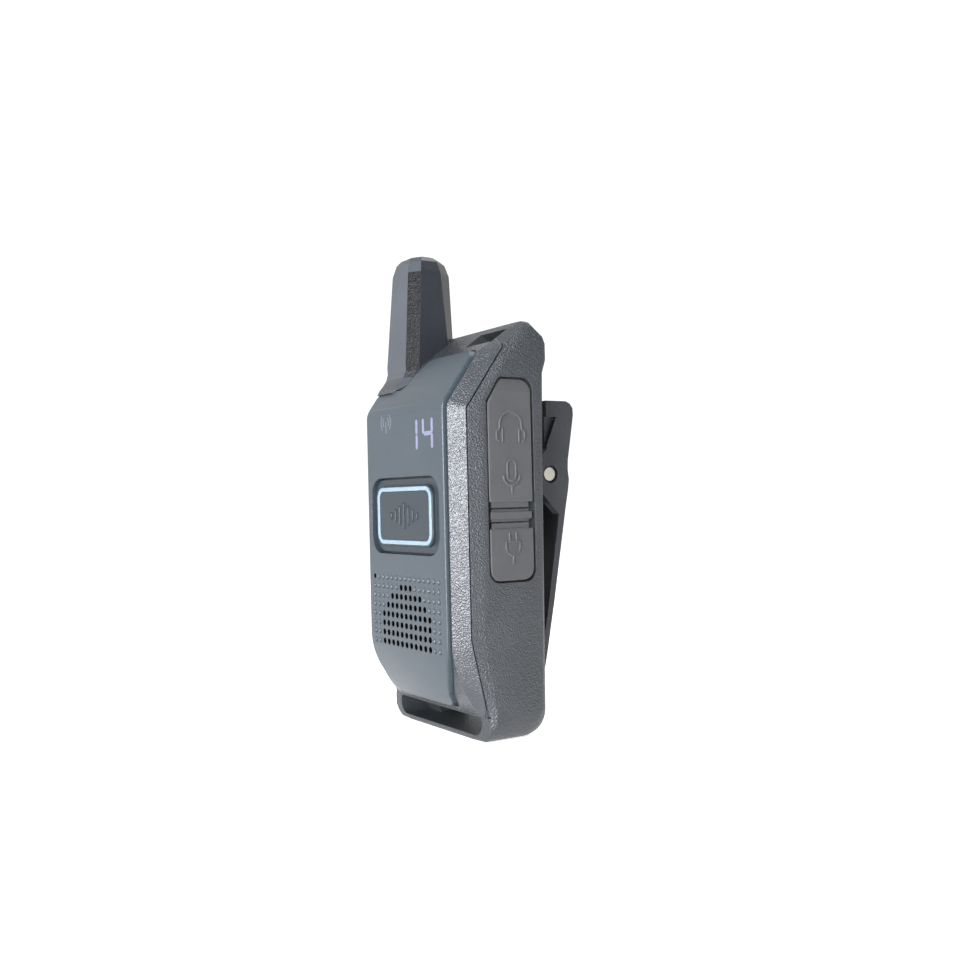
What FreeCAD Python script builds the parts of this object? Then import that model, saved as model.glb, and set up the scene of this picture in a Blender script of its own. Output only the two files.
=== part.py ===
import FreeCAD, Part
import math
import os

V = FreeCAD.Vector

# Handheld two-way radio, millimetres. X right, Y to the back, Z up, origin in the middle of the base.

# ---- driving dimensions: housing ----
half_w = 23.3          # half width of the housing
depth = 26.0           # panel face to the rear head
height = 96.3          # base to the top ridge
wall = 1.6             # outer walls
plate = 1.4            # wall behind the front panel
slant_deg = 35.5       # how far the upper face leans back from vertical
slant_drop = 19.1      # height from the top ridge down to the bend in the face
bend_r = 5.0           # radius of the bend in the face
belly_r = 22.0         # radius of the arc that draws the face in at the bottom
belly_z = 22.0         # where that arc starts
rear_r = 3.5           # rounding of the long rear edges at the foot
rear_r_top = 1.0       # and at the head
base_r = 5.5           # rounding of the bottom corners seen from the front
foot_r = 5.5           # rounding of the rear bottom edge
lip_r = 1.0            # rounding of the front bottom edge
head_step = 1.0        # the rear head stands this much proud of the back
head_drop = 9.0        # from the ridge down to the step under the rear head
crest_w = 1.0          # from the side face in to the crest where the shells part
bezel_w = 3.0          # width of the chamfered bezel in front of the crest
bezel_fall = 3.2       # how far the bezel falls over that width
shoulder_fall = 3.8    # how far the narrow strip behind the crest falls
part_gap = 0.25        # groove between the two shells
fit = 0.45             # gap round covers and caps
panel_fit = 0.3        # gap round the front panel

# ---- front panel, button, grille ----
panel_half = 18.8
panel_t = 1.8
panel_edge = 0.4
panel_rise = 1.0       # panel face above the housing face
panel_low = 7.7        # bottom edge of the panel
panel_top_drop = 6.9   # from the ridge down to the panel's top edge
grille_z = 29.0
grille_pitch = 2.25
grille_cols = 15
grille_rows = 8
grille_hole = 1.45
dimple_deep = 0.42
button_z = 51.8
well_half = 16.6
well_half_z = 9.2
pad_half = 13.6
pad_half_z = 7.2
ring_w = 1.0
mic_hole = 1.2

# ---- strap slots ----
slot_half = 19.2       # bottom slot, half length
slot_low = 1.4
slot_high = 5.8
slot_r = 3.2           # its lower corners, which follow the housing's
rear_slot_half = 13.0
top_slot_x0 = 8.0
top_slot_x1 = 19.4
top_slot_t = 3.0

# ---- side cover ----
cover_t = 1.7
cover_y0 = -3.7
cover_y1 = 8.2
cover_low = 36.7
cover_high = 82.5
hinge_low = 49.9       # living hinge of the charging cover
hinge_high = 53.1      # living hinge of the headset cover
port_y = 2.2
jack_low_z = 60.2      # centre of the larger headset socket
jack_pitch = 11.4      # spacing of the two headset sockets
jack_small_r = 1.27
jack_large_r = 1.78
jack_small_deep = 9.0
jack_large_deep = 12.0
usb_z = 44.8
usb_half_y = 1.6
usb_half_z = 4.5

# ---- antenna ----
ant_x = -14.4          # centre line
ant_right = -6.0        # right side of the foot
ant_rise = 20.4        # from the ridge up to the tip
ant_seat_drop = 15.8   # from the ridge down to the bottom of the foot, inside the housing

# ---- belt clip ----
clip_half = 15.0
cheek_t = 2.5
pin_y = 19.4
pin_z = 61.0
pin_r = 1.6
pin_run = 0.06         # radial running clearance of the lever on its pin
clip_screw_r = 1.05

# ---- side buttons ----
key_h = 7.0
key_w = 4.4
key_proud = 0.7
key_y = 0.5
key_gap = 0.3
key_zs = {"power_button": 66.5, "volume_up_button": 55.5, "volume_down_button": 46.5}

# ---- inside ----
board_y = -2.0         # front face of the main board
board_t = 1.0
board_margin = 4.4     # from the board's side to the side of the housing
speaker_r = 13.0
speaker_deep = 4.2
sound_half = 12.2      # opening behind the grille
sound_low = 19.5
sound_high = 38.6
gasket_w = 0.9
gasket_t = 0.6
cell_w = 24.4
cell_h = 56.0
cell_t = 8.2
screw_x = 17.2
screw_z0 = 12.0
screw_left_drop = 20.8     # top left screw, below the ridge; it stays under the antenna's foot
screw_right_drop = 15.8
screw_r = 1.0
screw_head_r = 1.9
boss_r = 2.6
shield_t = 2.2

# ---- worked out ----
y_face = -depth / 2
y_head = depth / 2
y_back = y_head - head_step
bend_z = height - slant_drop
slant = math.radians(slant_deg)
crest_half = half_w - crest_w
bezel_half = crest_half - bezel_w
belly_half = bezel_half - 4.8
speaker_z = (sound_low + sound_high) / 2
speaker_y = y_face + panel_t + plate + 0.8 + gasket_t
cover_x = half_w - cover_t - 0.1
jack_high_z = jack_low_z + jack_pitch
cavity_x0 = -(half_w - wall)
cavity_x1 = cover_x - 1.7
switch_y = board_y + board_t
cavity_y1 = y_back - wall
cavity_z0 = slot_high + wall
cavity_z1 = height - 11.8
ant_top = height + ant_rise
ant_seat = height - ant_seat_drop
board_half = half_w - board_margin


# ---- small helpers ----
def box(x0, x1, y0, y1, z0, z1):
    return Part.makeBox(x1 - x0, y1 - y0, z1 - z0, V(x0, y0, z0))


def rod(r, length, base, axis):
    return Part.makeCylinder(r, length, V(*base), V(*axis))


def tube(r_out, r_in, length, base, axis):
    return rod(r_out, length, base, axis).cut(rod(r_in, length, base, axis))


def outline(place, start, steps):
    """Closed wire; place turns a pair into a point, and a step is (end,) or, for an arc, (middle, end)."""
    edges = []
    here = place(start)
    for step in steps:
        there = place(step[-1])
        if len(step) == 2:
            edges.append(Part.Arc(here, place(step[0]), there).toShape())
        else:
            edges.append(Part.LineSegment(here, there).toShape())
        here = there
    return Part.Wire(edges)


def on_x(x):
    return lambda p: V(x, p[0], p[1])


def on_y(y):
    return lambda p: V(p[0], y, p[1])


def slab_x(x0, x1, start, steps):
    """A YZ outline made solid from x0 to x1."""
    return Part.Face(outline(on_x(x0), start, steps)).extrude(V(x1 - x0, 0, 0))


def slab_y(y0, y1, start, steps):
    """An XZ outline made solid from y0 to y1."""
    return Part.Face(outline(on_y(y0), start, steps)).extrude(V(0, y1 - y0, 0))


def polygon(points):
    """Start and steps of a closed straight-sided outline."""
    return points[0], [(p,) for p in points[1:]] + [(points[0],)]


def rounded(a0, a1, b0, b1, r):
    """Start and steps of a rectangle with rounded corners."""
    k = r * (1 - math.sqrt(0.5))
    return (a0 + r, b0), [
        ((a1 - r, b0),), ((a1 - k, b0 + k), (a1, b0 + r)),
        ((a1, b1 - r),), ((a1 - k, b1 - k), (a1 - r, b1)),
        ((a0 + r, b1),), ((a0 + k, b1 - k), (a0, b1 - r)),
        ((a0, b0 + r),), ((a0 + k, b0 + k), (a0 + r, b0)),
    ]


def centred(half_a, half_b, middle_b, r):
    """The same, given by its half sizes round (0, middle_b)."""
    return rounded(-half_a, half_a, middle_b - half_b, middle_b + half_b, r)


def fuse(shapes):
    shapes = list(shapes)
    return shapes[0].multiFuse(shapes[1:]).removeSplitter() if len(shapes) > 1 else shapes[0]


def save(name, shape):
    shape.exportStep("parts/" + name + ".step")


# ---- housing outline ----
def drop(a, r):
    """How far a rounding of radius r at the side has fallen at a distance a from the middle."""
    over = a - (half_w - r)
    return r - math.sqrt(max(r * r - over * over, 0)) if over > 0 else 0.0


def across(a, belly, bezel, crest, side):
    """A value given at the four lengthwise lines of the housing, straight in between."""
    lines = ((belly_half, belly), (bezel_half, bezel), (crest_half, crest), (half_w, side))
    if a <= belly_half:
        return belly
    for (a0, v0), (a1, v1) in zip(lines, lines[1:]):
        if a <= a1 + 1e-9:
            return v0 + (v1 - v0) * (a - a0) / (a1 - a0)
    return side


def belly_y(inset, z):
    """The belly arc at height z, for a surface that lies inset below the panel's face."""
    r = belly_r - inset
    return y_face + belly_r - math.sqrt(r * r - (belly_z - z) ** 2)


def slant_y(inset, z):
    """The leaning upper face at height z."""
    return y_face + inset / math.cos(slant) + (z - bend_z) * math.tan(slant)


def bend_steps(inset, top_inset):
    """Where the flat face ends, and the bend that leads on to the leaning face."""
    y = y_face + inset
    z = bend_z + (inset - top_inset / math.cos(slant)) / math.tan(slant)
    r = max(bend_r - inset, 1.0)
    t = r * math.tan(slant / 2)
    start = (y, z - t)
    middle = (y + r * (1 - math.cos(slant / 2)), z - t + r * math.sin(slant / 2))
    end = (y + t * math.sin(slant), z + t * math.cos(slant))
    return [(start,), (middle, end)]


def section(x):
    """The housing's outline in the plane at x, anticlockwise from the foot of the flat face."""
    a = abs(x)
    fall = panel_rise + bezel_fall
    inset = across(a, panel_rise, panel_rise, fall, fall + shoulder_fall)
    top_inset = across(a, panel_rise, panel_rise, fall, fall + 2.0)
    belly_start = across(a, belly_z, belly_z, belly_z + 2, belly_z + 2)
    belly_mid_z = across(a, 12.5, 13.0, 15.5, 15.5)
    round_y = belly_y(panel_rise, 12.5)
    belly_mid = across(a, round_y, round_y + 0.3, y_face + 6.1, y_face + 9.1)
    front = across(a, y_face + 8.4, y_face + 8.4, y_face + 8.6, y_face + 10.1)
    rear = drop(a, rear_r)
    nape = drop(a, rear_r_top)
    base = drop(a, base_r)
    top = drop(a, 2.4)
    band_z = height - across(a, 7.4, 7.4, 7.0, 7.8)
    ridge = across(a, y_head - 6.0, y_head - 6.0, y_head - 5.6, y_head - 4.6)
    heel_y = y_back - rear - (foot_r - rear * 0.7) * 0.29
    heel_z = base + (foot_r - base * 0.5) * 0.29
    return outline(on_x(x), (y_face + inset, belly_start), bend_steps(inset, top_inset) + [
        ((slant_y(top_inset, band_z), band_z),),
        ((ridge, height - top),),
        ((y_head - 4.3 + across(a, 0, 0, 0, 0.5), height - top),),
        ((y_head - 0.7 - nape * 0.85, height - 3.1 - top * 0.4),),
        ((y_head - nape, height - 5.2),),
        ((y_head - nape, height - head_drop),),
        ((y_back - nape, height - head_drop - 3.0),),
        ((y_back - rear, foot_r + base * 0.5),),
        ((heel_y, heel_z), (y_back - foot_r - rear * 0.3, base),),
        ((front + lip_r, base),),
        ((front + lip_r * 0.29, base + lip_r * 0.29), (front, base + lip_r)),
        ((front, 6.0 + base * 0.5),),
        ((belly_mid, belly_mid_z), (y_face + inset, belly_start)),
    ])


def housing():
    turn = (22.5, 67.5, 90)
    rounds = [half_w - rear_r * (1 - math.sin(math.radians(t))) for t in turn]
    lines = sorted([belly_half, bezel_half, crest_half] + rounds)
    return Part.makeLoft([section(x) for x in [-a for a in reversed(lines)] + lines], True, True)


def front_band(x0, x1, inset, low, high, back):
    """Everything from a surface inset below the face to the plane back, between two heights."""
    steps = bend_steps(inset, inset)
    middle_z = (belly_z + low) / 2
    steps += [((slant_y(inset, high), high),), ((back, high),), ((back, low),),
              ((belly_y(inset, low), low),),
              ((belly_y(inset, middle_z), middle_z), (y_face + inset, belly_z))]
    return slab_x(x0, x1, (y_face + inset, belly_z), steps)


def parting(grow):
    """The space in front of the surface where the shells meet."""
    inset = panel_rise + bezel_fall + grow
    bend = bend_steps(inset, inset)
    z1 = height - 6.2
    y1 = slant_y(inset, z1)
    far = y_face - 10
    low = (y_face + 8.6 + grow, slot_high + 0.2)
    steps = bend + [((y1, z1),), ((y1 + 0.2, height + 5),), ((far, height + 5),), ((far, low[1]),), (low,),
                    ((y_face + 6.1 + grow, 15.5), (y_face + inset, belly_z + 2))]
    return slab_x(-half_w - 1, half_w + 1, (y_face + inset, belly_z + 2), steps)


# ---- panel outline, seen from the front ----
def panel_outline(grow):
    """Start and steps in XZ: the sides draw in at the bottom, and the top left is cut round the antenna."""
    w = panel_half + grow
    low = panel_low - grow
    top = height - panel_top_drop + grow
    step = height - 13.8 + grow
    foot = 13.4 + grow
    r = 3.2
    k = r * 0.29
    sweep_x, sweep_z = w - foot - 0.5, 12.9
    big = (sweep_x ** 2 + sweep_z ** 2) / (2 * sweep_x)
    belly = big - math.sqrt(big ** 2 - (sweep_z / 2) ** 2)
    half_z = low + r + sweep_z / 2
    return (-foot + r, low), [
        ((foot - r, low),),
        ((foot - k + 0.2, low + k), (foot + 0.5, low + r)),
        ((w - belly, half_z), (w, low + r + sweep_z)),
        ((w, top - 3.0),),
        ((w - 0.88, top - 0.88), (w - 3.0, top)),
        ((1.5 - grow, top),),
        ((-3.0 - grow, top - 1.8), (-4.8 - grow, step + 1.9)),
        ((-6.0 - grow, step + 0.5), (-8.4, step)),
        ((-w + 1.6, step),),
        ((-w + 0.5, step - 0.5), (-w, step - 1.6)),
        ((-w, low + r + sweep_z),),
        ((-w + belly, half_z), (-foot - 0.5, low + r)),
        ((-foot + k - 0.2, low + k), (-foot + r, low)),
    ]


def panel_slab(grow, under):
    """The panel's space, grown all round, from its face down to a surface inset by under."""
    start, steps = panel_outline(grow)
    flat = slab_y(y_face - 1, y_head, start, steps)
    low = panel_low - grow - 0.5
    high = height - panel_top_drop + grow + 0.5
    outside = front_band(-half_w, half_w, 0, low, high, y_head)
    inside = front_band(-half_w, half_w, under, low - 1, high + 1, y_head)
    return flat.common(outside.cut(inside))


def grid(test):
    """Centres of the grille cells for which test(column, row) holds; row 0 is the top one."""
    for row in range(grille_rows):
        for col in range(grille_cols):
            if test(col, row):
                yield ((col - (grille_cols - 1) / 2) * grille_pitch,
                       grille_z + ((grille_rows - 1) / 2 - row) * grille_pitch)


def is_open(col, row):
    """The open cells form a dome over the speaker; the rest are blind dimples."""
    reach = (-1, 1, 3, 4, 5, 5, 5, 5)[row]
    return abs(col - (grille_cols - 1) // 2) <= reach


def grille_cut(y0, y1, r, test):
    return Part.makeCompound([rod(r, y1 - y0, (x, y0, z), (0, 1, 0)) for x, z in grid(test)])


def dimples(r):
    """Shallow bowls of radius r at the face, one in each closed cell but the microphone's."""
    bowl = (r * r + dimple_deep * dimple_deep) / (2 * dimple_deep)
    places = grid(lambda col, row: not is_open(col, row) and (col, row) != (0, 0))
    y = y_face + dimple_deep - bowl
    return Part.makeCompound([Part.makeSphere(bowl, V(x, y, z)) for x, z in places])


def mic_place():
    return -(grille_cols - 1) / 2 * grille_pitch, grille_z + (grille_rows - 1) / 2 * grille_pitch


def front_panel():
    body = panel_slab(0, panel_t)
    face_edges = [e for e in body.Edges if on_face(e)]
    body = body.makeFillet(panel_edge, face_edges)
    well = rounded(-well_half, well_half, button_z - well_half_z, button_z + well_half_z, 4.5)
    body = body.cut(slab_y(y_face - 1, y_face + 5, *well))
    r = grille_hole / 2
    body = body.cut(grille_cut(y_face - 1, y_face + 5, r, is_open))
    body = body.cut(dimples(r))
    x, z = mic_place()
    return body.cut(rod(mic_hole / 2, 6, (x, y_face - 1, z), (0, 1, 0)))


def on_face(edge):
    """True for an edge that lies in the panel's outer surface and runs round its rim."""
    for point in (edge.Vertexes[0].Point, edge.Vertexes[-1].Point):
        if point.z < belly_z:
            surface = belly_y(0, point.z)
        else:
            surface = max(y_face, slant_y(0, point.z))
        if abs(point.y - surface) > 0.6:
            return False
    middle = edge.valueAt((edge.FirstParameter + edge.LastParameter) / 2)
    inside = abs(middle.x) < panel_half - 6 and panel_low + 1 < middle.z < height - 16
    level = abs(edge.Vertexes[0].Point.z - edge.Vertexes[-1].Point.z) < 1e-6
    seam = level and edge.Length > 2 * panel_half - 0.5
    return not inside and not (seam and panel_low + 1 < middle.z < height - 14)


# ---- shells ----
def top_slot(grow):
    """The strap slot through the top, falling to the back."""
    t = top_slot_t + 2 * grow
    y0, z0 = y_face + 14.6, height - 4.0 - grow
    fall = 5.2
    end_z = z0 - fall - 1.2
    pts = [(y0 - 4, z0), (y_head + 2, end_z), (y_head + 2, end_z + t),
           (y0 + 3.0, z0 + t - 0.6), (y0 - 4, z0 + t + 3)]
    return slab_x(top_slot_x0 - grow, top_slot_x1 + grow, *polygon(pts))


def bottom_slot():
    r, k = slot_r, slot_r * 0.29
    w, low, high = slot_half, slot_low, slot_high
    front = (-w + r, low), [
        ((w - r, low),), ((w - k, low + k), (w, low + r)),
        ((w, high - 1.0),), ((w - 0.29, high - 0.29), (w - 1.0, high)),
        ((-w + 1.0, high),), ((-w + 0.29, high - 0.29), (-w, high - 1.0)),
        ((-w, low + r),), ((-w + k, low + k), (-w + r, low)),
    ]
    back = rounded(-rear_slot_half, rear_slot_half, slot_low, slot_high, 2.1)
    return slab_y(y_face - 1, 3.0, *front).fuse(slab_y(0, y_head + 2, *back))


def antenna_seat(grow):
    """The notch in the shells that holds the antenna's foot."""
    return box(-half_w - 2, ant_right + grow, y_face - 5, y_head - 5.6 + grow, ant_seat - grow, height + 30)


def cavity():
    low, high = cavity_z0, cavity_z1
    inset = panel_t + plate
    narrow = front_band(-bezel_half, min(bezel_half, cavity_x1), inset, low, high, cavity_y1)
    wide = front_band(cavity_x0, cavity_x1, inset + 2.6, low, high, cavity_y1)
    return narrow.fuse(wide).cut(box(-half_w, -5.0, y_face, y_head - 3.8, ant_seat - wall, height))


def cover_outline(grow, z0, z1):
    """Side cover's outline in YZ between two heights, with its cut corner at the top front."""
    y0, y1 = cover_y0 - grow, cover_y1 + grow
    low, high = cover_low - grow, cover_high + grow
    whole = slab_x(cover_x, half_w + 3, (y0, low + 2.8), [
        ((y0, high - 5.6),), ((y0 + 3.2, high - 0.6),), ((y0 + 3.8, high - 0.1), (y0 + 4.6, high)),
        ((y1 - 2.4, high),), ((y1 - 1.0, high - 0.7), (y1, high - 2.8)),
        ((y1, low + 2.8),), ((y1 - 0.8, low + 0.8), (y1 - 2.8, low)),
        ((y0 + 2.8, low),), ((y0 + 0.8, low + 0.8), (y0, low + 2.8)),
    ])
    return whole.common(box(0, half_w + 4, y0 - 1, y1 + 1, z0, z1))


def screw_places():
    return [(-screw_x, screw_z0), (screw_x, screw_z0),
            (-screw_x, height - screw_left_drop), (screw_x, height - screw_right_drop)]


def front_shell(body):
    shape = body.common(parting(0)).cut(cavity())
    shape = shape.cut(panel_slab(panel_fit, panel_t))
    lip = centred(well_half + 1.3, well_half_z + 1.3, button_z, 5.5)
    shape = shape.cut(slab_y(y_face, y_face + 6, *lip))
    light_z = button_z + well_half_z + 4.2
    shape = shape.cut(box(4.6, 16.6, y_face, y_face + 6, light_z, light_z + 10.0))
    sound = rounded(-sound_half, sound_half, sound_low, sound_high, 1.5)
    shape = shape.cut(slab_y(y_face, y_face + 6, *sound))
    x, z = mic_place()
    shape = shape.cut(rod(mic_hole / 2, 6, (x, y_face, z), (0, 1, 0)))
    shape = shape.cut(bottom_slot()).cut(top_slot(0)).cut(antenna_seat(0))
    for x, z in screw_places():
        post = rod(boss_r, 20, (x, y_face + panel_t + 0.2, z), (0, 1, 0))
        post = post.common(front_band(-half_w, half_w, panel_t + 0.4, cavity_z0 - 1, height, board_y))
        shape = shape.fuse(post.common(parting(0).fuse(cavity())))
    for x, z in screw_places():
        shape = shape.cut(rod(screw_r * 0.8, 5.0, (x, board_y - 5.0, z), (0, 1, 0)))
    return shape.removeSplitter()


def rear_shell(body):
    inner = box(-crest_half + 0.9, crest_half - 0.9, y_face, y_head, 0, height)
    lip = parting(part_gap).cut(parting(0)).common(inner)
    shape = body.cut(parting(part_gap)).fuse(body.common(lip))
    shape = shape.cut(cavity()).cut(bottom_slot()).cut(top_slot(0)).cut(antenna_seat(0))
    shape = shape.cut(cover_outline(fit, 0, height))
    for x, z in screw_places():
        post = rod(boss_r, cavity_y1 - board_y - board_t + 0.5, (x, board_y + board_t, z), (0, 1, 0))
        shape = shape.fuse(post)
    for x, z in clip_screw_places():
        shape = shape.cut(rod(clip_screw_r, 2.0, (x, y_back - 1.4, z), (0, 1, 0)))
    for x, z in screw_places():
        shape = shape.cut(rod(screw_r + 0.1, 30, (x, board_y - 1, z), (0, 1, 0)))
        shape = shape.cut(rod(screw_head_r + 0.15, 10, (x, y_back - 2.2, z), (0, 1, 0)))
    for r, z in ((jack_small_r, jack_high_z), (jack_large_r, jack_low_z)):
        shape = shape.cut(rod(r + 1.2, 8, (cavity_x1 - 1, port_y, z), (1, 0, 0)))
    shape = shape.cut(box(cavity_x1 - 1, half_w, port_y - usb_half_y - 0.5, port_y + usb_half_y + 0.5,
                          usb_z - usb_half_z - 0.5, usb_z + usb_half_z + 0.5))
    anchor_z = (hinge_low + hinge_high) / 2
    shape = shape.cut(box(cavity_x1 - 1, half_w, port_y - 2.0, port_y + 2.0, anchor_z - 0.7, anchor_z + 0.7))
    hole_y, hole_z = key_w / 2 + key_gap, key_h / 2 + key_gap
    for z in key_zs.values():
        hole = rounded(key_y - hole_y, key_y + hole_y, z - hole_z, z + hole_z, 1.6)
        shape = shape.cut(slab_x(-half_w - 2, cavity_x0 + 1, *hole))
    x0 = ant_x
    shape = shape.cut(rod(1.9, 8, (x0, 1.0, ant_seat - wall - 2), (0, 0, 1)))
    return shape.removeSplitter()


# ---- button and display ----
def ptt_button():
    pad = rounded(-pad_half, pad_half, button_z - pad_half_z, button_z + pad_half_z, 3.0)
    moat_x, moat_z = well_half - fit, well_half_z - fit
    moat = rounded(-moat_x, moat_x, button_z - moat_z, button_z + moat_z, 4.2)
    lip = centred(well_half + 0.9, well_half_z + 0.9, button_z, 5.1)
    y1 = y_face + panel_t + 0.1
    shape = slab_y(y_face, y1, *pad)
    rim = [e for e in shape.Edges if abs(e.BoundBox.YMax - y_face) < 1e-6]
    shape = shape.makeFillet(0.3, rim)
    shape = shape.fuse(slab_y(y_face + 0.9, y1, *moat)).fuse(slab_y(y1, y1 + 0.7, *lip))
    ring = ring_slab(y_face - 0.5, y_face + 0.55)
    shape = shape.cut(ring)
    stem = rod(2.2, board_y - 2.4 - y1, (0, y1, button_z), (0, 1, 0))
    return shape.fuse(stem).removeSplitter()


def ring_slab(y0, y1):
    """The light ring's space near the pad's rim."""
    out = centred(pad_half - 0.35, pad_half_z - 0.35, button_z, 2.7)
    x, z = pad_half - 0.35 - ring_w, pad_half_z - 0.35 - ring_w
    inn = rounded(-x, x, button_z - z, button_z + z, 1.8)
    return slab_y(y0, y1, *out).cut(slab_y(y0, y1, *inn))


def ptt_ring():
    ring = ring_slab(y_face - 0.25, y_face + 0.55)
    top = [e for e in ring.Edges if abs(e.BoundBox.YMax - (y_face - 0.25)) < 1e-6]
    return ring.makeFillet(0.2, top)


def ptt_switch():
    case = box(-3, 3, board_y - 1.8, board_y, button_z - 3, button_z + 3)
    return case.cut(rod(1.85, 1.4, (0, board_y - 1.8, button_z), (0, 1, 0)))


def ptt_switch_cap():
    return rod(1.75, 1.4, (0, board_y - 2.4, button_z), (0, 1, 0))


def display_module():
    z0 = button_z + well_half_z + 4.5
    case = box(4.9, 16.3, y_face + panel_t + plate + 1.0, board_y, z0, z0 + 9.4)
    return case


def display_guide():
    z0 = button_z + well_half_z + 4.5
    return box(4.9, 16.3, y_face + panel_t, y_face + panel_t + plate + 1.0, z0, z0 + 9.4)


# ---- speaker and microphone ----
def speaker_parts():
    axis = (0, 1, 0)
    y1 = speaker_y
    inside = rounded(-sound_half, sound_half, sound_low, sound_high, 1.5)
    w = gasket_w
    outside = rounded(-sound_half - w, sound_half + w, sound_low - w, sound_high + w, 2.4)
    y_cloth = y_face + panel_t + 0.15
    cloth = rounded(-sound_half + 0.2, sound_half - 0.2, sound_low + 0.2, sound_high - 0.2, 1.3)
    cloth = slab_y(y_cloth, y_cloth + 0.3, *cloth)
    gasket = slab_y(y_face, y1, *outside).cut(slab_y(y_face, y1, *inside))
    gasket = gasket.common(front_band(-half_w, half_w, panel_t + plate, sound_low - 3, height - 10, y_head))
    frame = rod(speaker_r, 1.2, (0, y1, speaker_z), axis)
    frame = frame.fuse(rod(speaker_r - 4.5, speaker_deep, (0, y1, speaker_z), axis))
    frame = frame.cut(Part.makeCone(speaker_r - 2.2, 3.0, 1.8, V(0, y1, speaker_z), V(0, 1, 0)))
    cone = Part.makeCone(speaker_r - 2.3, 3.0, 1.75, V(0, y1, speaker_z), V(0, 1, 0))
    cone = cone.cut(Part.makeCone(speaker_r - 2.9, 2.4, 1.75, V(0, y1 - 0.35, speaker_z), V(0, 1, 0)))
    dome = Part.makeSphere(4.0, V(0, y1 + 3.9, speaker_z)).common(rod(3.0, 1.7, (0, y1, speaker_z), axis))
    cone = cone.fuse(dome)
    return {"speaker_cloth": cloth, "speaker_gasket": gasket, "speaker_frame": frame, "speaker_cone": cone}


def microphone_parts():
    x, z = mic_place()
    y0 = y_face + panel_t + plate
    deep = board_y - y0
    boot = rod(2.5, deep, (x, y0, z), (0, 1, 0)).cut(rod(2.0, deep - 1.0, (x, y0 + 1.0, z), (0, 1, 0)))
    boot = boot.cut(rod(mic_hole / 2, 2, (x, y0 - 0.5, z), (0, 1, 0)))
    return {"microphone_boot": boot, "microphone": rod(1.95, 2.0, (x, board_y - 2.0, z), (0, 1, 0))}


# ---- board and what stands on it ----
def main_board():
    low, step, top = cavity_z0 + 1.0, ant_seat - wall - 0.6, cavity_z1 - 1.5
    pts = [(-board_half, low), (board_half, low), (board_half, top),
           (-4.4, top), (-4.4, step), (-board_half, step)]
    board = slab_y(board_y, board_y + board_t, *polygon(pts))
    for x, z in screw_places():
        board = board.cut(rod(screw_r + 0.1, 3, (x, board_y - 1, z), (0, 1, 0)))
    return board


def side_switches():
    """Small edge switches, one behind each side key."""
    shapes = []
    for z in key_zs.values():
        shapes.append(box(-board_half, -board_half + 3.0, switch_y, switch_y + 2.5, z - 2, z + 2))
    return Part.makeCompound(shapes)


def side_key(z):
    """Cap through the left wall, with a flange inside that keeps it in."""
    y0, y1, z0, z1 = key_y - key_w / 2, key_y + key_w / 2, z - key_h / 2, z + key_h / 2
    cap = slab_x(-half_w - key_proud, cavity_x0 + 0.1, *rounded(y0, y1, z0, z1, 1.4))
    rim = [e for e in cap.Edges if abs(e.BoundBox.XMax + half_w + key_proud) < 1e-6]
    cap = cap.makeFillet(0.4, rim)
    flange = slab_x(cavity_x0 + 0.1, cavity_x0 + 0.8, *rounded(y0 - 0.9, y1 + 0.9, z0 - 0.9, z1 + 0.9, 1.6))
    return cap.fuse(flange).removeSplitter()


def jack(r, deep, z):
    """Socket body with its bore open to the side."""
    x1 = cover_x - 0.15
    outer = box(x1 - deep - 3.4, cavity_x1, switch_y, port_y + r + 1.3, z - r - 1.5, z + r + 1.5)
    collar = rod(r + 1.0, 4, (x1 - 4, port_y, z), (1, 0, 0))
    return outer.fuse(collar).cut(rod(r, deep, (x1 - deep, port_y, z), (1, 0, 0)))


def charging_socket():
    x1 = cover_x - 0.15
    y0, y1, z0, z1 = port_y - usb_half_y, port_y + usb_half_y, usb_z - usb_half_z, usb_z + usb_half_z
    shell = box(x1 - 7.4, x1, y0, y1, z0, z1)
    inner = box(x1 - 6.4, x1 + 1, y0 + 0.4, y1 - 0.4, z0 + 0.4, z1 - 0.4)
    tongue = box(x1 - 6.4, x1 - 1.2, port_y - 0.35, port_y + 0.35, z0 + 1.2, z1 - 1.2)
    feet = box(x1 - 7.0, x1 - 3.0, switch_y, y0, z0, z1)
    return shell.cut(inner).fuse(tongue).fuse(feet).removeSplitter()


def battery_cell():
    x0 = cavity_x0 + 2.6
    y1 = cavity_y1 - 0.4
    start, steps = rounded(x0, x0 + cell_w, y1 - cell_t, y1, 2.6)
    z0 = screw_z0 + boss_r + 0.9
    face = Part.Face(outline(lambda p: V(p[0], p[1], z0), start, steps))
    return face.extrude(V(0, 0, cell_h))


def battery_pad():
    x0 = cavity_x0 + 2.6
    z0 = screw_z0 + boss_r + 0.9
    return box(x0 + 3, x0 + cell_w - 3, cavity_y1 - 0.4, cavity_y1, z0 + 4, z0 + cell_h - 4)


def radio_shield():
    x0, x1, z0, z1 = -13.8, 1.4, button_z + well_half_z + 3.0, button_z + well_half_z + 15.0
    y0 = board_y - shield_t
    can = box(x0, x1, y0, board_y, z0, z1)
    return can.cut(box(x0 + 0.3, x1 - 0.3, y0 + 0.3, board_y + 1, z0 + 0.3, z1 - 0.3))


# ---- side covers ----
def port_cover_anchor():
    """Ribbed middle of the side cover, with the stem that holds it in the wall."""
    z0, z1 = hinge_low + 0.2, hinge_high - 0.2
    strip = cover_outline(-0.9, z0, z1).common(box(0, half_w - 0.7, -9, 19, z0, z1))
    middle = (z0 + z1) / 2
    rib = cover_outline(-0.4, middle - 0.8, middle + 0.8)
    rib = rib.common(box(cover_x, half_w - 0.1, -9, 19, 0, height))
    stem = box(cavity_x1 - 0.6, cover_x + 0.1, port_y - 1.8, port_y + 1.8, middle - 0.6, middle + 0.6)
    return strip.fuse(rib).fuse(stem).removeSplitter()


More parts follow.
